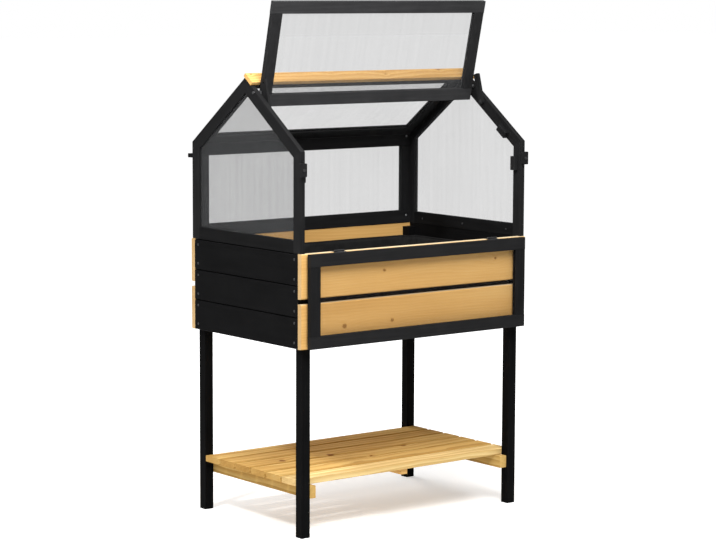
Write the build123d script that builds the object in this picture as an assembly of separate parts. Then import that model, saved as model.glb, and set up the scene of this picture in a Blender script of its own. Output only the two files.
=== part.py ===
from build123d import *
import math
import os

# A raised bed on four legs, with a slatted shelf below and a gabled cold frame on top.
# The front flap hangs open in front of the bed and the roof lid stands open.
# X runs along the bed, +Y to the back, +Z up. The origin is on the ground below the middle.

# Bed walls and legs
BED_LENGTH = 930.0
BED_DEPTH = 604.0
RIM_HEIGHT = 905.0
LEG_SIZE = 33.0
LEG_DROP = 12.0
LEG_EASE = 1.5
LONG_BOARD_HEIGHT = 142.0
LONG_BOARD_GAP = 16.0
LONG_BOARD_THICK = 18.0
LONG_BOARD_ROUND = 5.0
END_BOARD_COUNT = 3
END_BOARD_SEAM = 3.0
END_BOARD_THICK = 16.0
END_BOARD_EASE = 1.5
END_TONGUE_THICK = 6.0

# Floor and liner
FLOOR_BATTEN_WIDTH = 28.0
FLOOR_BATTEN_HEIGHT = 24.0
FLOOR_BATTEN_LIFT = 3.0
FLOOR_BOARD_THICK = 10.0
FLOOR_BOARD_COUNT = 8
FLOOR_BOARD_GAP = 3.0
FLOOR_FIT = 0.8
LINER_THICK = 1.6
LINER_DROP = 40.0
LINER_FIT = 0.4

# Shelf
SHELF_TOP = 183.0
SLAT_COUNT = 6
SLAT_GAP = 9.8
SLAT_THICK = 20.0
SLAT_ROUND = 3.0
SLAT_OVERHANG = 31.0
SLAT_LEG_FIT = 0.5
BEARER_WIDTH = 28.0
BEARER_HEIGHT = 40.0
BEARER_SETBACK = 8.0
SHELF_BATTEN_WIDTH = 28.0
SHELF_BATTEN_THICK = 18.0
SHELF_BATTEN_SETBACK = 9.5

# Framed panels: members, groove, tenons and twin-wall sheet
MEMBER_THICK = 16.0
MEMBER_WIDTH = 40.0
MEMBER_EASE = 1.0
SHEET_THICK = 4.0
SHEET_INSET = 8.0
GROOVE_FIT = 0.2
GROOVE_END_FIT = 0.3
TENON_SHOULDER = 8.0

# Gables
GABLE_SETBACK = 1.0
GABLE_FACE_SETBACK = 4.0
EAVE_RISE = 318.0
RIDGE_RISE = 219.0

# Rear wall and rear roof panels, ridge board
PANEL_SIDE_FIT = 0.2
REAR_WALL_EAVE_GAP = 7.0
REAR_WALL_FOOT_RAIL = 45.0
REAR_ROOF_SETBACK = 3.0
REAR_ROOF_EAVE_GAP = 9.8175
RIDGE_BOARD_WIDTH = 47.0
RIDGE_BOARD_THICK = 13.0
RIDGE_BOARD_OVERLAP = 6.0
RIDGE_BOARD_ROUND = 2.0

# Roof lid and its pivot bolts
LID_SIDE_GAP = 10.0
LID_SINK = 0.5
LID_EAVE_GAP = 6.8175
LID_SETBACK = 22.0
LID_PIVOT_SETBACK = 45.0
LID_OPENING = 113.4
LID_BOLT_RADIUS = 3.0
LID_BOLT_REACH = 24.0
LID_BOLT_HEAD_RADIUS = 4.5
LID_BOLT_HEAD_HEIGHT = 4.0
LID_SPACER_RADIUS = 6.5

# Prop arms beside the lid
ARM_REACH = 84.0
ARM_WIDTH = 22.0
ARM_TIP_LENGTH = 11.0
ARM_TIP_ROUND = 4.0
ARM_HOLE_RADIUS = 4.0
ARM_SETBACK = 136.0
ARM_SINK = 18.0
ARM_SWING = 141.8
ARM_LID_FIT = 0.6
ARM_GABLE_FIT = 0.3
ARM_RECESS_DEPTH = 3.0

# Blocks the shut lid lies on, and blocks the shut flap stops at
REST_BLOCK_SETBACK = 262.0
REST_BLOCK_LENGTH = 44.0
REST_BLOCK_HEIGHT = 23.0
REST_BLOCK_THICK = 16.0
STOP_BLOCK_DEPTH = 21.0
STOP_BLOCK_THICK = 16.0
STOP_BLOCK_HEIGHT = 46.0
STOP_BLOCK_EAVE_DROP = 98.0
SHUT_FIT = 0.3

# Front flap and its hinges
FLAP_SIDE_GAP = 2.0
FLAP_EAVE_GAP = 12.5
HINGE_SPREAD = 636.0
HINGE_WIDTH = 40.0
HINGE_KNUCKLE_RADIUS = 2.5
HINGE_PIN_RADIUS = 1.2
HINGE_LEAF_THICK = 1.2
HINGE_LEAF_LENGTH = 14.0
HINGE_AXIS_FORWARD = 5.5
HINGE_AXIS_RISE = 3.5
HINGE_EDGE_GAP = 4.0
HINGE_SPLIT = 0.5

# Turn buttons on the front posts, clips on the rear posts
BUTTON_WIDTH = 24.0
BUTTON_LENGTH = 42.0
BUTTON_THICK = 9.0
BUTTON_ROUND = 3.0
BUTTON_INSET = 5.0
BUTTON_EAVE_DROP = 57.0
CLIP_WIDTH = 22.0
CLIP_HEIGHT = 13.0
CLIP_DEPTH = 27.0
CLIP_EAVE_DROP = 53.0
CLIP_EASE = 2.0

# Screws and running clearance
SCREW_RADIUS = 2.0
SCREW_DEPTH = 12.0
SCREW_HEAD_RADIUS = 5.0
SCREW_HEAD_HEIGHT = 2.6
BORE_FIT = 0.1
RUN_FIT = 0.3

# Places worked out from the sizes above
HALF_LENGTH = BED_LENGTH / 2
HALF_DEPTH = BED_DEPTH / 2
WALL_HEIGHT = 2 * LONG_BOARD_HEIGHT + LONG_BOARD_GAP
WALL_FOOT = RIM_HEIGHT - WALL_HEIGHT
INNER_X = HALF_LENGTH - END_BOARD_THICK
INNER_Y = HALF_DEPTH - LONG_BOARD_THICK
LEG_X = INNER_X - LEG_SIZE
LEG_Y = INNER_Y - LEG_SIZE
GABLE_OUT = HALF_LENGTH - GABLE_SETBACK
GABLE_IN = GABLE_OUT - MEMBER_THICK
HALF_GABLE = HALF_DEPTH - GABLE_FACE_SETBACK
EAVE_Z = RIM_HEIGHT + EAVE_RISE
RIDGE_Z = EAVE_Z + RIDGE_RISE
PITCH = math.atan2(RIDGE_RISE, HALF_GABLE)
PITCH_DEG = math.degrees(PITCH)
SLOPE_LENGTH = math.hypot(HALF_GABLE, RIDGE_RISE)
REAR_WALL_HEIGHT = EAVE_RISE - REAR_WALL_EAVE_GAP
REAR_ROOF_LENGTH = SLOPE_LENGTH - REAR_ROOF_SETBACK - REAR_ROOF_EAVE_GAP
LID_LENGTH = SLOPE_LENGTH - LID_SETBACK - LID_EAVE_GAP
LID_HALF = GABLE_IN - LID_SIDE_GAP
LID_PIVOT = (LID_SETBACK + LID_PIVOT_SETBACK, -LID_SINK - MEMBER_THICK / 2)
LID_INNER_V = -LID_SINK - MEMBER_THICK
ARM_PIVOT = (ARM_SETBACK, -ARM_SINK)
HINGE_Y = -HALF_GABLE - HINGE_AXIS_FORWARD
HINGE_Z = RIM_HEIGHT + HINGE_AXIS_RISE
FLAP_FOOT_Z = HINGE_Z + HINGE_EDGE_GAP
FLAP_HALF = GABLE_IN - FLAP_SIDE_GAP
FLAP_HEIGHT = EAVE_Z - FLAP_FOOT_Z - FLAP_EAVE_GAP
BUTTON_X = GABLE_OUT - BUTTON_INSET
BUTTON_Y = -HALF_GABLE - RUN_FIT
BUTTON_Z = EAVE_Z - BUTTON_EAVE_DROP

nodes = {}


def block(x, y, z):
    """A box between three (low, high) pairs."""
    size = [high - low for low, high in (x, y, z)]
    return Pos(x[0], y[0], z[0]) * Box(*size, align=(Align.MIN, Align.MIN, Align.MIN))


def eased(solid, size):
    """The solid with its four longest edges planed off."""
    return chamfer(solid.edges().sort_by(SortBy.LENGTH)[-4:], size)


def bar_x(radius, x, y, z):
    """A round bar along X between the two x values."""
    bar = Cylinder(radius, x[1] - x[0], align=(Align.CENTER, Align.CENTER, Align.MIN))
    return Pos(x[0], y, z) * Rot(0, 90, 0) * bar


def bar_y(radius, x, y, z):
    """A round bar along Y between the two y values."""
    bar = Cylinder(radius, y[1] - y[0], align=(Align.CENTER, Align.CENTER, Align.MIN))
    return Pos(x, y[1], z) * Rot(90, 0, 0) * bar


def side_prism(points, x):
    """A prism along X between the two x values, from (y, z) points."""
    return extrude(Plane.YZ.offset(x[0]) * make_face(Polyline(*points, close=True)), x[1] - x[0])


def on_slope(s, v):
    """The (y, z) place a distance s down the front slope from the ridge and v out from it."""
    y = -s * math.cos(PITCH) - v * math.sin(PITCH)
    z = RIDGE_Z - s * math.sin(PITCH) + v * math.cos(PITCH)
    return y, z


def slope_block(x, s, v):
    """A box on the front slope between three (low, high) pairs."""
    corners = [(s[0], v[0]), (s[1], v[0]), (s[1], v[1]), (s[0], v[1])]
    return side_prism([on_slope(*corner) for corner in corners], x)


def mirrored_x(solid):
    return mirror(solid, Plane.YZ)


def mirrored_y(solid):
    return mirror(solid, Plane.XZ)


def pair(solid):
    """The solid and its mirror image at the other end of the bed."""
    return [solid, mirrored_x(solid)]


def turned(solids, y, z, angle):
    """The solids turned about the X line through (y, z)."""
    return [solid.rotate(Axis((0, y, z), (1, 0, 0)), angle) for solid in solids]


def framed_panel(half, height, near_rail, far_rail):
    """Two rails, two stiles with stub tenons, and the sheet in their groove.

    The near edge lies on the X axis, the panel rises along Z and its thickness runs along +Y.
    """
    stile_x = half - MEMBER_WIDTH
    window = (near_rail, height - far_rail)
    mid = MEMBER_THICK / 2
    sheet_y = (mid - SHEET_THICK / 2, mid + SHEET_THICK / 2)
    groove_y = (sheet_y[0] - GROOVE_FIT, sheet_y[1] + GROOVE_FIT)
    groove_depth = SHEET_INSET + GROOVE_END_FIT
    sheet_x = stile_x + SHEET_INSET
    groove_x = stile_x + groove_depth
    tenon_x = half - TENON_SHOULDER
    full_y = (0, MEMBER_THICK)

    sheet = block((-sheet_x, sheet_x), sheet_y, (window[0] - SHEET_INSET, window[1] + SHEET_INSET))
    rail_groove = block((-tenon_x - GROOVE_FIT, tenon_x + GROOVE_FIT), groove_y,
                        (window[0] - groove_depth, window[1] + groove_depth))
    stile_groove = block((-groove_x, groove_x), groove_y, window)
    rails = [eased(block((-half, half), full_y, span), MEMBER_EASE) - rail_groove
             for span in ((0, near_rail), (window[1], height))]
    left = eased(block((-half, -stile_x), full_y, window), MEMBER_EASE) - stile_groove
    for span in ((window[0] - SHEET_INSET, window[0]), (window[1], window[1] + SHEET_INSET)):
        left += block((-tenon_x, -groove_x), sheet_y, span)
    return {"rails": rails, "stiles": pair(left), "sheet": [sheet]}


def placed(panel, location):
    return {name: [location * solid for solid in solids] for name, solids in panel.items()}


def gable_outline(inset):
    """The gable's five corners as (y, z), drawn in by the inset."""
    side = HALF_GABLE - inset
    drop = inset / math.cos(PITCH)
    eave = RIDGE_Z - side * math.tan(PITCH) - drop
    foot = RIM_HEIGHT + inset
    return [(-side, foot), (-side, eave), (0, RIDGE_Z - drop), (side, eave), (side, foot)]


def build_legs():
    for depth, side_y in (("front", -1), ("rear", 1)):
        for hand, side_x in (("left", -1), ("right", 1)):
            x = sorted((side_x * LEG_X, side_x * INNER_X))
            y = sorted((side_y * LEG_Y, side_y * INNER_Y))
            nodes[f"leg_{depth}_{hand}"] = [eased(block(x, y, (0, RIM_HEIGHT - LEG_DROP)), LEG_EASE)]


def build_walls():
    spans = {"lower": (WALL_FOOT, WALL_FOOT + LONG_BOARD_HEIGHT),
             "upper": (RIM_HEIGHT - LONG_BOARD_HEIGHT, RIM_HEIGHT)}
    for level, z in spans.items():
        board = block((-HALF_LENGTH, HALF_LENGTH), (-HALF_DEPTH, -INNER_Y), z)
        board = fillet(board.edges().filter_by(Axis.X).group_by(Axis.Y)[0], LONG_BOARD_ROUND)
        nodes[f"front_board_{level}"] = [board]
        nodes[f"rear_board_{level}"] = [mirrored_y(board)]
    pitch = WALL_HEIGHT / END_BOARD_COUNT
    for number in range(END_BOARD_COUNT):
        foot = WALL_FOOT + number * pitch
        board = block((-HALF_LENGTH, -INNER_X), (-INNER_Y, INNER_Y), (foot, foot + pitch - END_BOARD_SEAM))
        board = eased(board, END_BOARD_EASE)
        board += block((-INNER_X - END_TONGUE_THICK, -INNER_X), (-INNER_Y, INNER_Y),
                       (foot + pitch - END_BOARD_SEAM - END_TONGUE_THICK, foot + pitch))
        nodes[f"left_end_board_{number + 1}"] = [board]
        nodes[f"right_end_board_{number + 1}"] = [mirrored_x(board)]


def build_floor():
    batten_foot = WALL_FOOT + FLOOR_BATTEN_LIFT
    batten_top = batten_foot + FLOOR_BATTEN_HEIGHT
    floor_top = batten_top + FLOOR_BOARD_THICK
    batten = block((-INNER_X, INNER_X), (-LEG_Y, -LEG_Y + FLOOR_BATTEN_WIDTH), (batten_foot, batten_top))
    nodes["floor_battens"] = [batten, mirrored_y(batten)]

    reach = LEG_X - FLOOR_FIT
    pitch = (2 * reach + FLOOR_BOARD_GAP) / FLOOR_BOARD_COUNT
    boards = []
    for number in range(FLOOR_BOARD_COUNT):
        start = -reach + number * pitch
        boards.append(block((start, start + pitch - FLOOR_BOARD_GAP),
                            (-INNER_Y + FLOOR_FIT, INNER_Y - FLOOR_FIT), (batten_top, floor_top)))
    strip = block((-INNER_X + FLOOR_FIT, -LEG_X), (-LEG_Y + FLOOR_FIT, LEG_Y - FLOOR_FIT), (batten_top, floor_top))
    nodes["floor_boards"] = boards + pair(strip)

    def bed_inside(inset, z):
        """The inside of the bed, round the legs, drawn in by the inset."""
        whole = block((-INNER_X + inset, INNER_X - inset), (-INNER_Y + inset, INNER_Y - inset), z)
        for side_x in (-1, 1):
            for side_y in (-1, 1):
                x = sorted((side_x * (LEG_X - inset), side_x * INNER_X))
                y = sorted((side_y * (LEG_Y - inset), side_y * INNER_Y))
                whole -= block(x, y, z)
        return whole

    hem = RIM_HEIGHT - LINER_DROP
    inside = bed_inside(LINER_FIT + LINER_THICK, (floor_top + LINER_THICK, hem))
    nodes["bed_liner"] = [bed_inside(LINER_FIT, (floor_top, hem)) - inside]


def build_shelf():
    slat_foot = SHELF_TOP - SLAT_THICK
    half_run = LEG_Y - SLAT_LEG_FIT
    pitch = (2 * half_run + SLAT_GAP) / SLAT_COUNT
    reach = LEG_X + SLAT_OVERHANG
    for number in range(SLAT_COUNT):
        start = -half_run + number * pitch
        slat = block((-reach, reach), (start, start + pitch - SLAT_GAP), (slat_foot, SHELF_TOP))
        nodes[f"shelf_slat_{number + 1}"] = [fillet(slat.edges().filter_by(Axis.X), SLAT_ROUND)]
    bearer_end = INNER_Y - BEARER_SETBACK
    bearer = block((-LEG_X, -LEG_X + BEARER_WIDTH), (-bearer_end, bearer_end), (slat_foot - BEARER_HEIGHT, slat_foot))
    bearer = eased(bearer, MEMBER_EASE)
    nodes["shelf_bearer_left"] = [bearer]
    nodes["shelf_bearer_right"] = [mirrored_x(bearer)]
    batten_end = half_run - SHELF_BATTEN_SETBACK
    batten = block((-SHELF_BATTEN_WIDTH / 2, SHELF_BATTEN_WIDTH / 2), (-batten_end, batten_end),
                   (slat_foot - SHELF_BATTEN_THICK, slat_foot))
    nodes["shelf_middle_batten"] = [eased(batten, MEMBER_EASE)]


def build_gables():
    x = (-GABLE_OUT, -GABLE_IN)
    mid = (x[0] + x[1]) / 2
    sheet_x = (mid - SHEET_THICK / 2, mid + SHEET_THICK / 2)
    groove_x = (sheet_x[0] - GROOVE_FIT, sheet_x[1] + GROOVE_FIT)
    outer = gable_outline(0)
    inner = gable_outline(MEMBER_WIDTH)
    groove = side_prism(gable_outline(MEMBER_WIDTH - SHEET_INSET - GROOVE_END_FIT), groove_x)
    sheet = side_prism(gable_outline(MEMBER_WIDTH - SHEET_INSET), sheet_x)

    foot = outer[0][1]
    post_points = [outer[0], outer[1], inner[1], (inner[0][0], foot)]
    rafter_points = [outer[1], outer[2], inner[2], inner[1]]
    rail_points = [(inner[0][0], foot), inner[0], inner[4], (inner[4][0], foot)]
    post, rafter, rail = (eased(side_prism(points, x), MEMBER_EASE) - groove
                          for points in (post_points, rafter_points, rail_points))

    button_bore = bar_y(SCREW_RADIUS + BORE_FIT, -BUTTON_X, (-HALF_GABLE, -HALF_GABLE + SCREW_DEPTH), BUTTON_Z)
    pivot_bore = bar_x(LID_BOLT_RADIUS + BORE_FIT, x, *on_slope(*LID_PIVOT))
    arm_bore = bar_x(SCREW_RADIUS + BORE_FIT, (-GABLE_IN - SCREW_DEPTH, -GABLE_IN), *on_slope(*ARM_PIVOT))
    members = {"posts": [post - button_bore, mirrored_y(post)],
               "rafters": [rafter - pivot_bore - arm_bore, mirrored_y(rafter)],
               "bottom_rail": [rail],
               "sheet": [sheet]}
    for name, solids in members.items():
        nodes[f"left_gable_{name}"] = solids
        nodes[f"right_gable_{name}"] = [mirrored_x(solid) for solid in solids]


def build_rear():
    half = GABLE_IN - PANEL_SIDE_FIT
    wall = framed_panel(half, REAR_WALL_HEIGHT, REAR_WALL_FOOT_RAIL, MEMBER_WIDTH)
    wall = placed(wall, Pos(0, HALF_GABLE - MEMBER_THICK, RIM_HEIGHT))
    roof = framed_panel(half, REAR_ROOF_LENGTH, MEMBER_WIDTH, MEMBER_WIDTH)
    y, z = on_slope(REAR_ROOF_SETBACK, 0)
    roof = placed(roof, Pos(0, -y, z) * Rot(-90 - PITCH_DEG, 0, 0))
    for panel_name, panel in (("rear_wall", wall), ("rear_roof", roof)):
        for name, solids in panel.items():
            nodes[f"{panel_name}_{name}"] = solids

    ridge = slope_block((-HALF_LENGTH, HALF_LENGTH),
                        (-RIDGE_BOARD_OVERLAP, RIDGE_BOARD_WIDTH - RIDGE_BOARD_OVERLAP), (0, RIDGE_BOARD_THICK))
    nodes["ridge_board"] = [fillet(ridge.edges().filter_by(Axis.X), RIDGE_BOARD_ROUND)]

    clip_foot = EAVE_Z - CLIP_EAVE_DROP
    clip = block((-GABLE_OUT, -GABLE_OUT + CLIP_WIDTH), (HALF_GABLE, HALF_GABLE + CLIP_DEPTH),
                 (clip_foot, clip_foot + CLIP_HEIGHT))
    nodes["rear_panel_clips"] = pair(chamfer(clip.faces().sort_by(Axis.Y)[-1].edges(), CLIP_EASE))


def build_lid():
    pivot = on_slope(*LID_PIVOT)
    panel = framed_panel(LID_HALF, LID_LENGTH, MEMBER_WIDTH, MEMBER_WIDTH)
    y, z = on_slope(LID_SETBACK, LID_INNER_V)
    panel = placed(panel, Pos(0, y, z) * Rot(90 + PITCH_DEG, 0, 0))
    for side in (-1, 1):
        bore = bar_x(LID_BOLT_RADIUS + RUN_FIT, sorted((side * LID_HALF, side * (LID_HALF - LID_BOLT_REACH))), *pivot)
        panel["stiles"] = [stile - bore for stile in panel["stiles"]]
    for name, solids in panel.items():
        nodes[f"lid_{name}"] = turned(solids, *pivot, -LID_OPENING)

    tip_x = -LID_HALF + LID_BOLT_REACH - RUN_FIT
    bolt = bar_x(LID_BOLT_RADIUS, (-GABLE_OUT, tip_x), *pivot)
    bolt += bar_x(LID_BOLT_HEAD_RADIUS, (-GABLE_OUT - LID_BOLT_HEAD_HEIGHT, -GABLE_OUT), *pivot)
    bolt += bar_x(LID_SPACER_RADIUS, (-GABLE_IN, -LID_HALF - RUN_FIT), *pivot)
    nodes["lid_pivot_bolts"] = pair(bolt)

    rest_top = LID_INNER_V - SHUT_FIT
    rest = slope_block((-GABLE_IN, -GABLE_IN + REST_BLOCK_THICK),
                       (REST_BLOCK_SETBACK, REST_BLOCK_SETBACK + REST_BLOCK_LENGTH),
                       (rest_top - REST_BLOCK_HEIGHT, rest_top))
    nodes["lid_rest_blocks"] = pair(eased(rest, MEMBER_EASE))


def build_arms():
    """The prop arms, each on a flush screw, and the screws."""
    pivot = on_slope(*ARM_PIVOT)
    x = (-GABLE_IN + ARM_GABLE_FIT, -LID_HALF - ARM_LID_FIT)
    tip = (ARM_SETBACK + ARM_REACH, -ARM_SINK)
    bar = slope_block(x, (ARM_SETBACK, tip[0] + ARM_TIP_LENGTH),
                      (-ARM_SINK - ARM_WIDTH / 2, -ARM_SINK + ARM_WIDTH / 2))
    tip_edges = bar.edges().filter_by(Axis.X).sort_by_distance((x[0], *pivot))[-2:]
    bar = fillet(tip_edges, ARM_TIP_ROUND)
    bar += bar_x(ARM_WIDTH / 2, x, *pivot)
    bar -= bar_x(ARM_HOLE_RADIUS, x, *on_slope(*tip))
    bar -= bar_x(SCREW_RADIUS + RUN_FIT, x, *pivot)
    recess_x = (x[1] - ARM_RECESS_DEPTH, x[1])
    bar -= bar_x(SCREW_HEAD_RADIUS + RUN_FIT, recess_x, *pivot)
    arm = turned([bar], *pivot, -ARM_SWING)[0]
    nodes["prop_arm_left"] = [arm]
    nodes["prop_arm_right"] = [mirrored_x(arm)]

    head_x = (recess_x[0] + RUN_FIT, x[1])
    screw = bar_x(SCREW_RADIUS, (-GABLE_IN - SCREW_DEPTH, head_x[1]), *pivot)
    screw += bar_x(SCREW_HEAD_RADIUS, head_x, *pivot)
    nodes["arm_screws"] = pair(screw)


def hinge(centre):
    """The fixed leaf, pin and moving leaf of one hinge, for the flap standing shut."""
    half = HINGE_WIDTH / 2
    whole = (centre - half, centre + half)
    middle = (centre - half / 3, centre + half / 3)
    clear = (middle[0] - RUN_FIT, middle[1] + RUN_FIT)
    near = HINGE_Y + HINGE_SPLIT
    web = (near, near + HINGE_LEAF_THICK)
    back = (near, -HALF_GABLE + HINGE_LEAF_LENGTH)
    knuckle = bar_x(HINGE_KNUCKLE_RADIUS, whole, HINGE_Y, HINGE_Z)

    fixed = knuckle + block(whole, back, (RIM_HEIGHT, RIM_HEIGHT + HINGE_LEAF_THICK))
    fixed += block(whole, web, (RIM_HEIGHT, HINGE_Z))
    reach = HINGE_EDGE_GAP + HINGE_LEAF_THICK
    fixed -= block(clear, (HINGE_Y - reach, HINGE_Y + reach), (HINGE_Z - reach, HINGE_Z + reach))
    fixed -= bar_x(HINGE_PIN_RADIUS + BORE_FIT, whole, HINGE_Y, HINGE_Z)

    moving = bar_x(HINGE_KNUCKLE_RADIUS, middle, HINGE_Y, HINGE_Z)
    moving += block(middle, web, (HINGE_Z, FLAP_FOOT_Z))
    moving += block(whole, back, (FLAP_FOOT_Z - HINGE_LEAF_THICK, FLAP_FOOT_Z))
    moving -= bar_x(HINGE_PIN_RADIUS + RUN_FIT, whole, HINGE_Y, HINGE_Z)
    pin = bar_x(HINGE_PIN_RADIUS, whole, HINGE_Y, HINGE_Z)
    return fixed, pin, moving


def build_flap():
    panel = framed_panel(FLAP_HALF, FLAP_HEIGHT, MEMBER_WIDTH, MEMBER_WIDTH)
    panel = placed(panel, Pos(0, -HALF_GABLE, FLAP_FOOT_Z))
    hinges = [hinge(centre) for centre in (-HINGE_SPREAD / 2, HINGE_SPREAD / 2)]
    nodes["hinge_fixed_leaves"] = [fixed for fixed, pin, moving in hinges]
    nodes["hinge_pins"] = [pin for fixed, pin, moving in hinges]
    panel["hinge_leaves"] = [moving for fixed, pin, moving in hinges]
    for name, solids in panel.items():
        nodes[f"flap_{name}"] = turned(solids, HINGE_Y, HINGE_Z, 180)

    stop_foot = EAVE_Z - STOP_BLOCK_EAVE_DROP
    stop_front = -HALF_GABLE + MEMBER_THICK + SHUT_FIT
    stop = block((-GABLE_IN, -GABLE_IN + STOP_BLOCK_THICK), (stop_front, stop_front + STOP_BLOCK_DEPTH),
                 (stop_foot, stop_foot + STOP_BLOCK_HEIGHT))
    nodes["flap_stop_blocks"] = pair(eased(stop, MEMBER_EASE))


def build_buttons():
    y = (BUTTON_Y - BUTTON_THICK, BUTTON_Y)
    button = block((-BUTTON_X - BUTTON_WIDTH / 2, -BUTTON_X + BUTTON_WIDTH / 2), y,
                   (BUTTON_Z - BUTTON_LENGTH / 2, BUTTON_Z + BUTTON_LENGTH / 2))
    button = fillet(button.edges().filter_by(Axis.Y), BUTTON_ROUND)
    button -= bar_y(SCREW_RADIUS + RUN_FIT, -BUTTON_X, y, BUTTON_Z)
    nodes["turn_button_left"] = [button]
    nodes["turn_button_right"] = [mirrored_x(button)]

    head = y[0] - RUN_FIT
    screw = bar_y(SCREW_RADIUS, -BUTTON_X, (head, -HALF_GABLE + SCREW_DEPTH), BUTTON_Z)
    screw += bar_y(SCREW_HEAD_RADIUS, -BUTTON_X, (head - SCREW_HEAD_HEIGHT, head), BUTTON_Z)
    nodes["button_screws"] = pair(screw)


build_legs()
build_walls()
build_floor()
build_shelf()
build_gables()
build_rear()
build_lid()
build_arms()
build_flap()
build_buttons()

os.makedirs("parts", exist_ok=True)
for name, solids in nodes.items():
    flat = [piece for solid in solids for piece in solid.solids()]
    export_step(flat[0] if len(flat) == 1 else Compound(children=flat), f"parts/{name}.step")
print("lid pivot", on_slope(*LID_PIVOT), "arm pivot", on_slope(*ARM_PIVOT))
print("flap hinge", HINGE_Y, HINGE_Z, "button", BUTTON_X, BUTTON_Z, "nodes", len(nodes))
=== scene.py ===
"""Looks of the raised bed with cold frame: wood, sheet, metal, liner cloth, screws, light and camera."""
import math

import bmesh
import bpy
from mathutils import Matrix, Vector, noise


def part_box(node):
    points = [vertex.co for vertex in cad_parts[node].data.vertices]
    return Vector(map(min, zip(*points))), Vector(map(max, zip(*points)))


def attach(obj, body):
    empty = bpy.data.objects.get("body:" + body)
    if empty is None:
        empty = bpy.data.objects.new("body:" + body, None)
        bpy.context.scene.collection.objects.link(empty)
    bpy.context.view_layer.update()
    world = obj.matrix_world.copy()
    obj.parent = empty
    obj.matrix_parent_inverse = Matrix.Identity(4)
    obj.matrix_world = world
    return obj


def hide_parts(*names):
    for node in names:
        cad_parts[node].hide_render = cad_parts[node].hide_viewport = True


# Camera, from corners of the photo
CAMERA_PLACE = (-4.8237, -6.1415, 1.7309)
CAMERA_YAW = math.radians(38.118)
CAMERA_PITCH = math.radians(6.836)
CAMERA_ROLL = math.radians(0.224)
SENSOR_WIDTH = 36.0
LENS = 119.1

# Wood: tones from dark to light, tints of single pieces, and the roof pitch that rafters follow
PINE_DARK = (0.56, 0.31, 0.092)
PINE_MID = (0.74, 0.46, 0.168)
PINE_LIGHT = (0.82, 0.572, 0.25)
KNOT_COLOUR = (0.17, 0.055, 0.010)
BOARD_TINT = (0.84, 0.785, 0.715)
SLAT_TINT = (0.75, 0.77, 0.67)
# Painted light: the front slat is made paler than the other slats, standing in for the light that falls on it
FRONT_SLAT_PAINTED_LIGHT_TINT = (1.0, 1.2, 1.5)
RIDGE_TINT = (0.90, 0.89, 0.87)
# Painted shade: the bearers are darkened, standing in for the shade under the slats
BEARER_PAINTED_SHADE_TINT = (0.76, 0.80, 0.72)
BOARD_END_TINT = (0.90, 1.06, 1.58)
SLAT_END_TINT = (0.86, 0.80, 0.74)
# Painted highlight: tint for upward faces of the boards, standing in for light on the rim
RIM_PAINTED_HIGHLIGHT = (0.88, 1.18, 2.2)
BLACK_DARK = (0.0045, 0.0045, 0.0048)
BLACK_LIGHT = (0.0125, 0.0125, 0.013)
ROOF_PITCH = math.radians(36.31)
RING_SCALE = 34.0
SLAT_RING_SCALE = 19.0
RIDGE_RING_SCALE = 20.0
FIBRE_SCALE = 420.0
PATTERN_SHIFT = (7.3, 3.1, 5.7)
SAWN_FACING = 0.8
PINE_GLOSS = 0.06

# Knots: centre, size across the grain
BOARD_KNOTS = (
    ((-0.2956, -0.302, 0.667), 0.010),
    ((-0.1013, -0.302, 0.670), 0.008),
    ((-0.1352, -0.302, 0.833), 0.008),
    ((0.335, -0.302, 0.840), 0.007),
    ((0.180, 0.302, 0.690), 0.010),
    ((-0.260, 0.302, 0.820), 0.009),
)
SLAT_KNOTS = (
    ((0.1845, -0.0092, 0.183), 0.013),
    ((-0.008, -0.0867, 0.183), 0.011),
    ((-0.2972, 0.0246, 0.183), 0.014),
    ((-0.1101, 0.0114, 0.183), 0.015),
)
RIDGE_KNOTS = (
    ((-0.447, -0.012, 1.455), 0.007),
    ((-0.130, -0.005, 1.460), 0.008),
    ((0.090, -0.025, 1.445), 0.006),
    ((0.330, -0.010, 1.455), 0.007),
)

# Twin-wall sheet
RIB_SPACING = 0.0062
SHEET_COLOUR = (0.10, 0.102, 0.105)
NEAR_SHEET_COLOUR = (0.022, 0.022, 0.023)
SHEET_VEIL = 0.22
NEAR_SHEET_VEIL = 0.08
RIB_SHARE = 0.42
STREAK_SHARE = 0.28
HAZE_SHARE = 0.12

# Liner cloth
CLOTH_THICK = 0.0012
CLOTH_STEP = 0.014
CLOTH_LEVELS = 16
CLOTH_FLOOR_RINGS = 12
CLOTH_WAVE = 0.006
HEM_SAG = 0.003
HEM_RADIUS = 0.0019
LEG_CLEARANCE = 0.0008
SPINE_REACH = 0.17
SPINE_CLOSING = 0.985
FLOOR_LIFT = 0.0015

# Surroundings and floor
AMBIENT = 0.28
FLOOR_REACH = 60.0
FLOOR_GLOW_START = 0.7
FLOOR_GLOW_END = 4.5
FLOOR_GLOW_NEAR = 0.40
FLOOR_GLOW_FAR = 0.80

# Lights: name, place, target, size, power
LIGHTS = (
    ("key", (-0.8, -2.0, 3.1), (0, -0.1, 0.9), 1.6, 135),
    ("top", (0.2, 0.2, 4.2), (0, 0, 0.6), 2.4, 50),
    ("rear", (0.6, 4.2, 3.0), (0, 0, 0.9), 2.4, 110),
    ("left", (-2.3, -0.5, 3.2), (-0.42, 0, 0.15), 0.45, 90),
)

# Screw heads
END_SCREW_REACH = 0.265
END_SCREW_SPREAD = 0.031
CORNER_SCREW_X = 0.430
CORNER_SCREW_HEIGHTS = (0.932, 1.210)
CORNER_SCREW_RADIUS = 0.004
RAIL_SCREW_PLACES = (-0.225, 0.0, 0.214)
RAIL_SCREW_HEIGHT = 0.018
RAIL_SCREW_RADIUS = 0.0036
SCREW_RADIUS = 0.0042
SCREW_RISE = 0.0012
LEAF_WIDTH = 0.040
LEAF_THICK = 0.0012
LEAF_SCREW_INSET = 0.0075
LEAF_SCREW_REACH = 0.013
LEAF_SCREW_RADIUS = 0.0026
LEAF_SCREW_RISE = 0.0005

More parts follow.
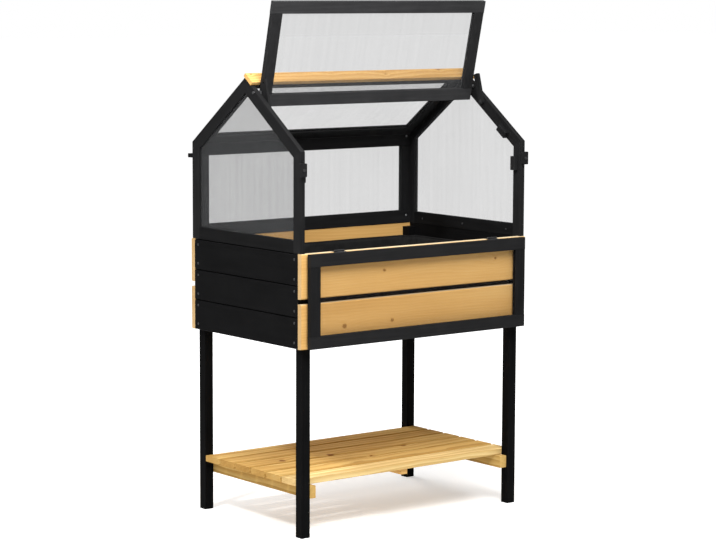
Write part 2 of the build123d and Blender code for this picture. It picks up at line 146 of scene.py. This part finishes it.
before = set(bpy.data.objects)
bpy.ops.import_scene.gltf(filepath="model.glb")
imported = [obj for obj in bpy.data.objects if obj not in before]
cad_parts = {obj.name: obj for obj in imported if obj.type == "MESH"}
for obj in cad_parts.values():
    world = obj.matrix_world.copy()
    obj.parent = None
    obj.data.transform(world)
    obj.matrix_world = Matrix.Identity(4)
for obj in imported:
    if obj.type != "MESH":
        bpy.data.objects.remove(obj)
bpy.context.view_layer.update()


def add(tree, kind, inputs=None, **settings):
    """A new node with its settings, and its inputs set to numbers or joined to sockets."""
    made = tree.nodes.new(kind)
    for key, value in settings.items():
        setattr(made, key, value)
    for key, value in (inputs or {}).items():
        if isinstance(value, bpy.types.NodeSocket):
            tree.links.new(value, made.inputs[key])
        else:
            made.inputs[key].default_value = value
    return made


def math_node(tree, operation, first, second=0.0, clamp=False):
    """The result socket of one sum on two numbers or sockets."""
    made = add(tree, "ShaderNodeMath", {0: first, 1: second}, operation=operation, use_clamp=clamp)
    return made.outputs[0]


def times(tree, first, second):
    return math_node(tree, "MULTIPLY", first, second)


def plus(tree, first, second, clamp=False):
    return math_node(tree, "ADD", first, second, clamp)


def moved(tree, operation, first, second):
    """The vector from one sum on a vector and another vector, or on a vector and a number for SCALE."""
    key = "Scale" if operation == "SCALE" else 1
    return add(tree, "ShaderNodeVectorMath", {0: first, key: second}, operation=operation).outputs[0]


def patches(tree, vector, scale, detail):
    """A noise value that changes over a vector."""
    made = add(tree, "ShaderNodeTexNoise", {"Vector": vector, "Scale": scale, "Detail": detail})
    return made.outputs["Fac"]


def object_place(tree):
    return add(tree, "ShaderNodeTexCoord").outputs["Object"]


def facing(tree):
    return add(tree, "ShaderNodeTexCoord").outputs["Normal"]


def ramp(tree, factor, stops):
    """Colours blended along a factor. stops are (position, colour) pairs."""
    made = add(tree, "ShaderNodeValToRGB", {"Fac": factor})
    elements = made.color_ramp.elements
    while len(elements) < len(stops):
        elements.new(0.5)
    for element, (position, colour) in zip(elements, stops):
        element.position = position
        element.color = (*colour, 1.0)
    return made.outputs["Color"]


def grey(value):
    return (value, value, value)


def mix_colour(tree, factor, first, second, blend="MIX"):
    made = add(tree, "ShaderNodeMix", {"Factor": factor}, data_type="RGBA", blend_type=blend)
    for socket, value in ((made.inputs[6], first), (made.inputs[7], second)):
        if isinstance(value, bpy.types.NodeSocket):
            tree.links.new(value, socket)
        else:
            socket.default_value = (*value, 1.0)
    return made.outputs[2]


def new_material(name):
    """A material, its node tree and its shader."""
    material = bpy.data.materials.new(name)
    material.use_nodes = True
    return material, material.node_tree, material.node_tree.nodes["Principled BSDF"]


def join(tree, source, shader, socket):
    tree.links.new(source, shader.inputs[socket])


def along_grain(tree, turn, mirrored):
    """Object coordinates turned so that the grain runs along X, with each object's pattern its own."""
    place = object_place(tree)
    if mirrored:
        parts = add(tree, "ShaderNodeSeparateXYZ", {0: place})
        across = math_node(tree, "ABSOLUTE", parts.outputs["Y"])
        place = add(tree, "ShaderNodeCombineXYZ",
                    {"X": parts.outputs["X"], "Y": across, "Z": parts.outputs["Z"]}).outputs[0]
    turned = add(tree, "ShaderNodeMapping", {"Vector": place, "Rotation": turn}).outputs[0]
    chance = add(tree, "ShaderNodeObjectInfo").outputs["Random"]
    shift = moved(tree, "SCALE", PATTERN_SHIFT, chance)
    return moved(tree, "ADD", turned, shift), place, chance


def across_grain(tree, turn):
    """One on faces sawn across the grain, nothing on the faces along it."""
    turned = add(tree, "ShaderNodeMapping", {"Vector": facing(tree), "Rotation": turn},
                 vector_type="VECTOR").outputs[0]
    along = add(tree, "ShaderNodeSeparateXYZ", {0: turned}).outputs["X"]
    return math_node(tree, "GREATER_THAN", math_node(tree, "ABSOLUTE", along), SAWN_FACING)


def stretched(tree, vector, scale):
    return add(tree, "ShaderNodeMapping", {"Vector": vector, "Scale": scale}).outputs[0]


def knot_distance(tree, place, knots):
    """How far a point is from the nearest knot, in knot sizes, with an uneven edge."""
    wobble = patches(tree, place, 75.0, 3.0)
    nearest = 99.0
    for centre, size in knots:
        offset = moved(tree, "SUBTRACT", place, centre)
        oval = moved(tree, "MULTIPLY", offset, (0.85 / size, 0.8 / size, 1 / size))
        distance = add(tree, "ShaderNodeVectorMath", {0: oval}, operation="LENGTH").outputs["Value"]
        nearest = math_node(tree, "MINIMUM", distance, nearest)
    return plus(tree, nearest, times(tree, wobble, 0.8))


def pine(name, turn=(0, 0, 0), knots=(), tint=(1, 1, 1), ring_share=0.42, ring_scale=RING_SCALE,
         cloud_share=0.85, paler=0.0, knot_share=0.9, end_tint=(1, 1, 1), painted_top_highlight=False):
    """Planed pine: growth rings, long fibres, a slow change of tone, knots, and speckled end grain, and
    optionally a painted highlight on upward faces.
    """
    material, tree, shader = new_material(name)
    vector, place, chance = along_grain(tree, turn, False)
    bend = add(tree, "ShaderNodeTexNoise",
               {"Vector": stretched(tree, vector, (1.6, 9, 9)), "Scale": 1.0, "Detail": 3.0})
    bent = moved(tree, "SCALE", bend.outputs["Color"], 0.05)
    ring_place = moved(tree, "ADD", stretched(tree, vector, (0.05, 1, 1)), bent)
    if knots:
        distance = knot_distance(tree, place, knots)
        near = math_node(tree, "DIVIDE", 0.02, plus(tree, distance, 0.6))
        pushed = add(tree, "ShaderNodeCombineXYZ", {"Y": near, "Z": near}).outputs[0]
        ring_place = moved(tree, "ADD", ring_place, pushed)
    rings = add(tree, "ShaderNodeTexWave",
                {"Vector": ring_place, "Scale": ring_scale, "Distortion": 2.2, "Detail": 2.0,
                 "Detail Scale": 0.8},
                wave_type="RINGS", rings_direction="X", wave_profile="SAW").outputs["Fac"]
    fibre = patches(tree, stretched(tree, vector, (0.02, 1, 1)), FIBRE_SCALE, 3.0)
    cloud = patches(tree, stretched(tree, vector, (0.5, 4, 4)), 3.0, 2.0)
    ends = across_grain(tree, turn)
    speckle = patches(tree, vector, 130.0, 4.0)
    ring_weight = math_node(tree, "SUBTRACT", ring_share, times(tree, ends, 0.8 * ring_share))
    ring_part = times(tree, rings, ring_weight)
    tone = plus(tree, ring_part, times(tree, cloud, cloud_share))
    tone = plus(tree, tone, times(tree, ends, times(tree, speckle, 0.5)))
    tone = plus(tree, tone, times(tree, chance, 0.16))
    tone = math_node(tree, "SUBTRACT", tone, paler)
    tone = math_node(tree, "SUBTRACT", tone, times(tree, fibre, 0.30), True)
    tones = [tuple(part * share for part, share in zip(base, tint))
             for base in (PINE_LIGHT, PINE_MID, PINE_DARK)]
    colour = ramp(tree, tone, tuple(zip((0.0, 0.45, 1.0), tones)))
    colour = mix_colour(tree, ends, colour, end_tint, "MULTIPLY")
    # Painted highlight: faces that point up are made paler, standing in for light on the top edges
    if painted_top_highlight:
        upward = add(tree, "ShaderNodeSeparateXYZ", {0: facing(tree)}).outputs["Z"]
        highlight_faces = math_node(tree, "GREATER_THAN", upward, SAWN_FACING)
        colour = mix_colour(tree, highlight_faces, colour, RIM_PAINTED_HIGHLIGHT, "MULTIPLY")
    if knots:
        halo = ramp(tree, distance, ((0.25, grey(1.0)), (1.0, grey(0.0))))
        colour = mix_colour(tree, times(tree, halo, 0.45), colour, PINE_DARK)
        heart = ramp(tree, math_node(tree, "DIVIDE", distance, 1.6), ((0.56, grey(1.0)), (0.80, grey(0.0))))
        colour = mix_colour(tree, times(tree, heart, knot_share), colour, KNOT_COLOUR)
    join(tree, colour, shader, "Base Color")
    rough = ramp(tree, fibre, ((0.2, grey(0.58)), (0.8, grey(0.76))))
    join(tree, rough, shader, "Roughness")
    height = plus(tree, times(tree, fibre, 0.7), times(tree, rings, 0.3))
    bump = add(tree, "ShaderNodeBump", {"Height": height, "Strength": 0.16, "Distance": 0.0006})
    join(tree, bump.outputs["Normal"], shader, "Normal")
    shader.inputs["Specular IOR Level"].default_value = PINE_GLOSS
    return material


def black_wood(name, turn=(0, 0, 0), mirrored=False, share=1.0, gloss=0.10):
    """Black-stained wood: the grain shows as faint lighter streaks, pores and a little dust. share scales its
    tones, which the variants use for painted light and shade.
    """
    material, tree, shader = new_material(name)
    vector, _, chance = along_grain(tree, turn, mirrored)
    streak = patches(tree, stretched(tree, vector, (0.03, 1, 1)), 190.0, 4.0)
    pores = patches(tree, stretched(tree, vector, (0.06, 1, 1)), 900.0, 2.0)
    dust = patches(tree, vector, 14.0, 5.0)
    tone = plus(tree, times(tree, streak, 0.7), times(tree, dust, 0.4))
    tone = plus(tree, tone, times(tree, chance, 0.1), True)
    low, high = (tuple(part * share for part in base) for base in (BLACK_DARK, BLACK_LIGHT))
    colour = ramp(tree, tone, ((0.3, low), (0.8, high)))
    join(tree, colour, shader, "Base Color")
    join(tree, ramp(tree, streak, ((0.25, grey(0.50)), (0.75, grey(0.68)))), shader, "Roughness")
    height = plus(tree, times(tree, streak, 0.6), times(tree, pores, 0.4))
    bump = add(tree, "ShaderNodeBump", {"Height": height, "Strength": 0.22, "Distance": 0.0006})
    join(tree, bump.outputs["Normal"], shader, "Normal")
    shader.inputs["Specular IOR Level"].default_value = gloss
    return material


def twin_wall(name, across, veil, colour=SHEET_COLOUR):
    """Translucent twin-wall sheet: ribs in rows, streaks along them, and a milky veil."""
    material, tree, shader = new_material(name)
    place = object_place(tree)
    parts = add(tree, "ShaderNodeSeparateXYZ", {0: place})
    turn = times(tree, parts.outputs[across], 2 * math.pi / RIB_SPACING)
    wave = math_node(tree, "COSINE", turn)
    rib = ramp(tree, wave, ((0.5, grey(0.0)), (0.95, grey(1.0))))
    line = add(tree, "ShaderNodeCombineXYZ", {"X": parts.outputs[across]}).outputs[0]
    streak = patches(tree, line, 60.0, 3.0)
    haze = patches(tree, place, 5.0, 3.0)
    cover = times(tree, rib, veil * RIB_SHARE)
    cover = plus(tree, cover, times(tree, streak, veil * STREAK_SHARE))
    cover = plus(tree, cover, times(tree, haze, veil * HAZE_SHARE))
    cover = plus(tree, cover, veil * (1 - (RIB_SHARE + STREAK_SHARE + HAZE_SHARE) / 2), True)
    join(tree, cover, shader, "Alpha")
    tint = mix_colour(tree, streak, colour, tuple(0.82 * part for part in colour))
    join(tree, tint, shader, "Base Color")
    join(tree, ramp(tree, haze, ((0.3, grey(0.22)), (0.7, grey(0.36)))), shader, "Roughness")
    bump = add(tree, "ShaderNodeBump", {"Height": rib, "Strength": 0.12, "Distance": 0.0004})
    join(tree, bump.outputs["Normal"], shader, "Normal")
    shader.inputs["IOR"].default_value = 1.58
    return material


def steel(name, colour, metallic, rough_low, rough_high):
    """Plated or coated steel with fine mottling and scuffs."""
    material, tree, shader = new_material(name)
    place = object_place(tree)
    mottle = patches(tree, place, 380.0, 4.0)
    worn = patches(tree, place, 70.0, 6.0)
    light = tuple(min(1.0, part * 1.35) for part in colour)
    dark = tuple(part * 0.7 for part in colour)
    join(tree, ramp(tree, worn, ((0.3, dark), (0.7, light))), shader, "Base Color")
    join(tree, ramp(tree, mottle, ((0.3, grey(rough_low)), (0.7, grey(rough_high)))), shader, "Roughness")
    bump = add(tree, "ShaderNodeBump", {"Height": mottle, "Strength": 0.08, "Distance": 0.0003})
    join(tree, bump.outputs["Normal"], shader, "Normal")
    shader.inputs["Metallic"].default_value = metallic
    return material


def cloth():
    """Dark woven fleece: crossing threads, fuzz and lint."""
    material, tree, shader = new_material("liner_cloth")
    place = object_place(tree)
    threads = []
    for direction in ("X", "Y", "Z"):
        threads.append(add(tree, "ShaderNodeTexWave", {"Vector": place, "Scale": 190.0, "Distortion": 0.6},
                           bands_direction=direction).outputs["Fac"])
    weave = times(tree, math_node(tree, "MAXIMUM", threads[0], threads[1]), threads[2])
    lint = patches(tree, place, 55.0, 6.0)
    tone = times(tree, weave, 0.35)
    tone = plus(tree, tone, times(tree, lint, 0.6))
    join(tree, ramp(tree, tone, ((0.25, grey(0.005)), (0.85, grey(0.019)))), shader, "Base Color")
    join(tree, ramp(tree, lint, ((0.3, grey(0.86)), (0.7, grey(0.98)))), shader, "Roughness")
    bump = add(tree, "ShaderNodeBump", {"Height": tone, "Strength": 0.5, "Distance": 0.0008})
    join(tree, bump.outputs["Normal"], shader, "Normal")
    shader.inputs["Specular IOR Level"].default_value = 0.1
    shader.inputs["Sheen Weight"].default_value = 0.08
    return material


TURN_Y = (0, 0, -math.pi / 2)
TURN_Z = (0, math.pi / 2, 0)
TURN_SLOPE = (ROOF_PITCH, 0, -math.pi / 2)

pine_boards = pine("pine_boards", knots=BOARD_KNOTS, tint=BOARD_TINT, ring_share=0.2, cloud_share=1.1,
                   knot_share=0.7, end_tint=BOARD_END_TINT, painted_top_highlight=True)
pine_slats = pine("pine_slats", knots=SLAT_KNOTS, tint=SLAT_TINT, ring_share=0.8, ring_scale=SLAT_RING_SCALE,
                  cloud_share=1.3, paler=0.32, end_tint=SLAT_END_TINT)
# Painted light: a paler copy of the slat wood for the lit front slat
pine_front_slat_painted_light = pine("pine_front_slat_painted_light", tint=FRONT_SLAT_PAINTED_LIGHT_TINT, ring_share=0.8, ring_scale=SLAT_RING_SCALE,
                       cloud_share=1.1, paler=0.25, end_tint=SLAT_END_TINT)
pine_ridge = pine("pine_ridge", knots=RIDGE_KNOTS, tint=RIDGE_TINT, ring_share=0.8,
                  ring_scale=RIDGE_RING_SCALE)
pine_along_x = pine("pine_along_x")
pine_along_y = pine("pine_along_y", TURN_Y)
# Painted shade: a darker copy of the pine for the shaded bearers
pine_bearers_painted_shade = pine("pine_bearers_painted_shade", TURN_Y, tint=BEARER_PAINTED_SHADE_TINT, ring_share=0.8, ring_scale=RIDGE_RING_SCALE)
# Painted light and shade: these are one black stain; shares above one on the lid stand in for light from
# above and sheen, shares under one on the legs, end boards, flap stiles, bottom rails and rafters stand in
# for shade
black_along_x = black_wood("black_along_x")
black_along_y = black_wood("black_along_y", TURN_Y, share=0.6, gloss=0.06)
black_along_z = black_wood("black_along_z", TURN_Z)
black_slope = black_wood("black_slope", TURN_SLOPE, True, share=0.85, gloss=0.10)
black_legs_painted_shade = black_wood("black_legs_painted_shade", TURN_Z, share=0.4, gloss=0.02)
black_ends_painted_shade = black_wood("black_ends_painted_shade", TURN_Y, share=0.5, gloss=0.03)
flap_along_z_painted_shade = black_wood("flap_along_z_painted_shade", TURN_Z, share=0.75, gloss=0.06)
lid_along_x_painted_light = black_wood("lid_along_x_painted_light", share=2.3, gloss=0.16)
lid_along_z_painted_light = black_wood("lid_along_z_painted_light", TURN_Z, share=1.3, gloss=0.11)
sheet_far = twin_wall("twin_wall_across_x", "X", SHEET_VEIL)
sheet_end = twin_wall("twin_wall_across_y", "Y", SHEET_VEIL)
sheet_near = twin_wall("twin_wall_flap", "X", NEAR_SHEET_VEIL, NEAR_SHEET_COLOUR)
zinc = steel("zinc_plated", (0.40, 0.405, 0.41), 1.0, 0.34, 0.52)
bolt_steel = steel("bolt_steel", (0.19, 0.19, 0.195), 1.0, 0.38, 0.55)
black_metal = steel("black_coated", (0.016, 0.016, 0.017), 0.0, 0.42, 0.6)
liner_cloth = cloth()

ENDINGS = (
    ("lid_rails", lid_along_x_painted_light), ("lid_stiles", lid_along_z_painted_light), ("flap_stiles", flap_along_z_painted_shade),
    ("_posts", black_along_z), ("_rafters", black_slope), ("_bottom_rail", black_along_y),
    ("roof_rails", black_along_x), ("roof_stiles", black_slope), ("_rails", black_along_x),
    ("_stiles", black_along_z), ("flap_sheet", sheet_near), ("gable_sheet", sheet_end), ("_sheet", sheet_far),
    ("_leaves", black_metal), ("_pins", zinc), ("_screws", black_metal), ("_bolts", bolt_steel),
    ("rest_blocks", black_slope), ("_blocks", black_along_z), ("_clips", black_along_y),
    ("_battens", pine_along_x), ("middle_batten", pine_along_y), ("bed_liner", liner_cloth),
    ("ridge_board", pine_ridge), ("floor_boards", pine_along_y),
)
STARTS = (
    ("front_board", pine_boards), ("rear_board", pine_boards), ("left_end", black_ends_painted_shade),
    ("right_end", black_ends_painted_shade), ("leg_", black_legs_painted_shade), ("shelf_slat_1", pine_front_slat_painted_light),
    ("shelf_slat", pine_slats), ("shelf_bearer", pine_bearers_painted_shade), ("prop_arm", black_along_z),
    ("turn_button", black_along_z),
)


def finish_of(name):
    """The material of a CAD node, by its name."""
    for start, material in STARTS:
        if name.startswith(start):
            return material
    for ending, material in ENDINGS:
        if name.endswith(ending):
            return material
    raise ValueError(name)


for name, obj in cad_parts.items():
    obj.data.materials.clear()
    obj.data.materials.append(finish_of(name))


def mesh_object(name, form, material, smooth=True):
    """A new object from a bmesh."""
    data = bpy.data.meshes.new(name)
    form.to_mesh(data)
    form.free()
    for face in data.polygons:
        face.use_smooth = smooth
    data.materials.append(material)
    obj = bpy.data.objects.new(name, data)
    bpy.context.collection.objects.link(obj)
    return obj


def liner_outline():
    """Points round the liner at one level, in order, with notches where the legs stand."""
    low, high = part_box("bed_liner")
    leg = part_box("leg_front_right")
    half_x = high[0] - CLOTH_THICK / 2
    half_y = high[1] - CLOTH_THICK / 2
    notch_x = leg[0][0] - CLOTH_THICK - LEG_CLEARANCE
    notch_y = -leg[1][1] - CLOTH_THICK - LEG_CLEARANCE
    quarter = [(half_x, -notch_y), (half_x, notch_y), (notch_x, notch_y), (notch_x, half_y)]
    corners = quarter + [(-x, y) for x, y in reversed(quarter[2:])]
    corners += [(-half_x, notch_y), (-half_x, -notch_y), (-notch_x, -notch_y), (-notch_x, -half_y)]
    corners += [(notch_x, -half_y), (notch_x, -notch_y)]
    points = []
    for start, end in zip(corners, corners[1:] + corners[:1]):
        run = Vector(end) - Vector(start)
        count = max(2, round(run.length / CLOTH_STEP))
        points += [Vector(start) + run * step / count for step in range(count)]
    return points, low[2], high[2]


def make_liner():
    """The fabric bag: it hangs from its hem, folds a little and lies on the floor boards."""
    outline, floor, top = liner_outline()
    form = bmesh.new()
    rings = []
    hem = []
    sags = [HEM_SAG * (0.5 + 0.5 * noise.noise(Vector((point.x * 5, point.y * 5, 0.4)))) for point in outline]
    for level in range(CLOTH_LEVELS + 1):
        part = level / CLOTH_LEVELS
        slack = math.sin(math.pi * min(1.0, part * 0.95 + 0.05))
        ring = []
        for point, sag in zip(outline, sags):
            height = top - HEM_RADIUS - sag
            z = height + (floor + CLOTH_THICK - height) * part
            fold = noise.noise(Vector((point.x * 14, point.y * 14, z * 5)))
            inward = CLOTH_WAVE * slack * (0.5 + 0.5 * fold)
            flat = point * (1 - inward / point.length)
            ring.append(form.verts.new((flat.x, flat.y, z)))
            if level == 0:
                hem.append((flat.x, flat.y, z))
        rings.append(ring)
    for step in range(1, CLOTH_FLOOR_RINGS + 1):
        part = step / CLOTH_FLOOR_RINGS
        ring = []
        for point in outline:
            spine = Vector((max(-SPINE_REACH, min(SPINE_REACH, point.x)), 0.0))
            flat = point.lerp(spine, part * SPINE_CLOSING)
            lift = FLOOR_LIFT * (1 + noise.noise(Vector((flat.x * 22, flat.y * 22, 3.0))))
            ring.append(form.verts.new((flat.x, flat.y, floor + CLOTH_THICK + lift)))
        rings.append(ring)
    for upper, lower in zip(rings, rings[1:]):
        for index in range(len(upper)):
            after = (index + 1) % len(upper)
            form.faces.new((upper[index], upper[after], lower[after], lower[index]))
    form.faces.new(rings[-1])
    bag = mesh_object("liner_bag", form, liner_cloth)
    wall = bag.modifiers.new("cloth thickness", "SOLIDIFY")
    wall.thickness = CLOTH_THICK
    wall.offset = 0.0
    return bag, hem


def make_hem(points):
    """The turned and stitched upper edge of the liner."""
    data = bpy.data.curves.new("liner_hem", "CURVE")
    data.dimensions = "3D"
    data.bevel_depth = HEM_RADIUS
    data.bevel_resolution = 2
    line = data.splines.new("POLY")
    line.points.add(len(points) - 1)
    for target, place in zip(line.points, points):
        target.co = (*place, 1.0)
    line.use_cyclic_u = True
    data.materials.append(liner_cloth)
    obj = bpy.data.objects.new("liner_hem", data)
    bpy.context.collection.objects.link(obj)
    return obj


liner, hem_points = make_liner()
hem = make_hem(hem_points)
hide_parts("bed_liner")
for cloth_piece in (liner, hem):
    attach(cloth_piece, "bed")


def cross_outline(arm, width):
    """24 points round a plus sign: its corners and the middles between them."""
    corners = []
    for turn in range(4):
        spin = Matrix.Rotation(turn * math.pi / 2, 2)
        corners += [spin @ Vector(point) for point in ((arm, -width), (arm, width), (width, width))]
    points = []
    for start, end in zip(corners, corners[1:] + corners[:1]):
        points += [start, (start + end) / 2]
    return points


def screw_head(form, place, outward, radius, rise):
    """One countersunk head with a cross recess, added to a bmesh."""
    outward = Vector(outward)
    spin = outward.to_track_quat("Z", "Y").to_matrix().to_4x4()
    frame_here = Matrix.Translation(place) @ spin @ Matrix.Rotation(math.radians(17 * place[2] * 100), 4, "Z")
    cross = cross_outline(0.5 * radius, 0.13 * radius)
    start_angle = math.atan2(cross[0].y, cross[0].x)
    count = len(cross)
    angles = [start_angle + 2 * math.pi * k / count for k in range(count)]
    circle = [Vector((math.cos(angle), math.sin(angle))) for angle in angles]
    levels = [
        [(point * radius, -0.0004) for point in circle],
        [(point * radius, rise * 0.35) for point in circle],
        [(point * radius * 0.86, rise * 0.85) for point in circle],
        [(point * radius * 0.62, rise) for point in circle],
        [(point, rise) for point in cross],
        [(point * 0.8, rise - 0.0011) for point in cross],
    ]
    rings = []
    for level in levels:
        rings.append([form.verts.new(frame_here @ Vector((point.x, point.y, z))) for point, z in level])
    for lower, upper in zip(rings, rings[1:]):
        for k in range(count):
            after = (k + 1) % count
            form.faces.new((lower[k], lower[after], upper[after], upper[k]))
    form.faces.new(rings[-1])


def screw_row(name, places, outward, body, material, radius=SCREW_RADIUS, rise=SCREW_RISE):
    """Several screw heads as one piece that rides on a body."""
    form = bmesh.new()
    for place in places:
        screw_head(form, Vector(place), outward, radius, rise)
    obj = mesh_object(name, form, material, False)
    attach(obj, body)
    return obj


for hand, side in (("left", -1), ("right", 1)):
    heads = []
    for number in (1, 2, 3):
        low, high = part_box(f"{hand}_end_board_{number}")
        face = high[0] if side > 0 else low[0]
        middle = (low[2] + high[2]) / 2
        for along in (-END_SCREW_REACH, END_SCREW_REACH):
            heads += [(face, along, middle + rise) for rise in (-END_SCREW_SPREAD, END_SCREW_SPREAD)]
    screw_row(f"{hand}_end_board_screws", heads, (side, 0, 0), "bed", black_metal)
    rail_low, rail_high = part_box(f"{hand}_gable_bottom_rail")
    inner = rail_low[0] if side > 0 else rail_high[0]
    rail_heads = [(inner, along, rail_low[2] + RAIL_SCREW_HEIGHT) for along in RAIL_SCREW_PLACES]
    screw_row(f"{hand}_gable_rail_screws", rail_heads, (-side, 0, 0), "bed", black_metal,
              RAIL_SCREW_RADIUS)
    wall_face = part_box("rear_wall_rails")[0][1]
    corner_heads = [(side * CORNER_SCREW_X, wall_face, height) for height in CORNER_SCREW_HEIGHTS]
    screw_row(f"{hand}_rear_corner_screws", corner_heads, (0, -1, 0), "bed", zinc,
              CORNER_SCREW_RADIUS)

for body, node in (("bed", "hinge_fixed_leaves"), ("front_flap", "flap_hinge_leaves")):
    low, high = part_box(node)
    across = high[1] - LEAF_SCREW_INSET if body == "bed" else low[1] + LEAF_SCREW_INSET
    heads = []
    for middle in (low[0] + LEAF_WIDTH / 2, high[0] - LEAF_WIDTH / 2):
        heads += [(middle + step, across, low[2] + LEAF_THICK)
                  for step in (-LEAF_SCREW_REACH, LEAF_SCREW_REACH)]
    screw_row(f"{node}_screws", heads, (0, 0, 1), body, black_metal,
              LEAF_SCREW_RADIUS, LEAF_SCREW_RISE)


def make_floor():
    """A wide pale floor, white to the camera away from the object's shadow."""
    form = bmesh.new()
    bmesh.ops.create_grid(form, x_segments=8, y_segments=8, size=FLOOR_REACH)
    material, tree, shader = new_material("studio_floor")
    grain = add(tree, "ShaderNodeTexNoise", {"Scale": 3.0, "Detail": 2.0}).outputs["Fac"]
    join(tree, ramp(tree, grain, ((0.3, grey(0.80)), (0.7, grey(0.82)))), shader, "Base Color")
    seen = add(tree, "ShaderNodeLightPath").outputs["Is Camera Ray"]
    place = object_place(tree)
    away = add(tree, "ShaderNodeVectorMath", {0: place}, operation="LENGTH").outputs["Value"]
    span = {"From Min": FLOOR_GLOW_START, "From Max": FLOOR_GLOW_END,
            "To Min": FLOOR_GLOW_NEAR, "To Max": FLOOR_GLOW_FAR}
    glow = add(tree, "ShaderNodeMapRange", {"Value": away, **span}).outputs[0]
    join(tree, times(tree, seen, glow), shader, "Emission Strength")
    shader.inputs["Emission Color"].default_value = (1, 1, 1, 1)
    shader.inputs["Roughness"].default_value = 0.9
    shader.inputs["Specular IOR Level"].default_value = 0.1
    floor = mesh_object("studio_floor", form, material)


def make_world():
    """Soft white surroundings: full white where seen, dimmer as light."""
    world = bpy.data.worlds.new("studio")
    world.use_nodes = True
    tree = world.node_tree
    path = add(tree, "ShaderNodeLightPath").outputs
    seen = math_node(tree, "MAXIMUM", path["Is Camera Ray"], path["Is Transmission Ray"])
    extra = times(tree, seen, 1 - AMBIENT)
    strength = plus(tree, extra, AMBIENT)
    back = tree.nodes["Background"]
    back.inputs["Color"].default_value = (1, 1, 1, 1)
    tree.links.new(strength, back.inputs["Strength"])
    bpy.context.scene.world = world


def area_light(name, place, target, size, power):
    """A square soft light aimed at a point."""
    data = bpy.data.lights.new(name, "AREA")
    data.shape = "SQUARE"
    data.size = size
    data.energy = power
    obj = bpy.data.objects.new(name, data)
    aim = Vector(target) - Vector(place)
    obj.matrix_world = Matrix.Translation(place) @ aim.to_track_quat("-Z", "Y").to_matrix().to_4x4()
    obj.visible_camera = False
    bpy.context.collection.objects.link(obj)


def make_camera():
    """The photo's camera, from its yaw, pitch and roll."""
    flat = math.cos(CAMERA_PITCH)
    forward = Vector((math.sin(CAMERA_YAW) * flat, math.cos(CAMERA_YAW) * flat, -math.sin(CAMERA_PITCH)))
    level = Vector((math.cos(CAMERA_YAW), -math.sin(CAMERA_YAW), 0.0))
    upright = level.cross(forward)
    right = math.cos(CAMERA_ROLL) * level + math.sin(CAMERA_ROLL) * upright
    up = -math.sin(CAMERA_ROLL) * level + math.cos(CAMERA_ROLL) * upright
    data = bpy.data.cameras.new("photo_camera")
    data.sensor_fit = "HORIZONTAL"
    data.sensor_width = SENSOR_WIDTH
    data.lens = LENS
    data.clip_end = 200.0
    obj = bpy.data.objects.new("photo_camera", data)
    turn = Matrix((right, up, -forward)).transposed().to_4x4()
    obj.matrix_world = Matrix.Translation(CAMERA_PLACE) @ turn
    bpy.context.collection.objects.link(obj)
    bpy.context.scene.camera = obj


make_floor()
make_world()
for light in LIGHTS:
    area_light(*light)
make_camera()
bpy.context.scene.view_settings.view_transform = "Standard"
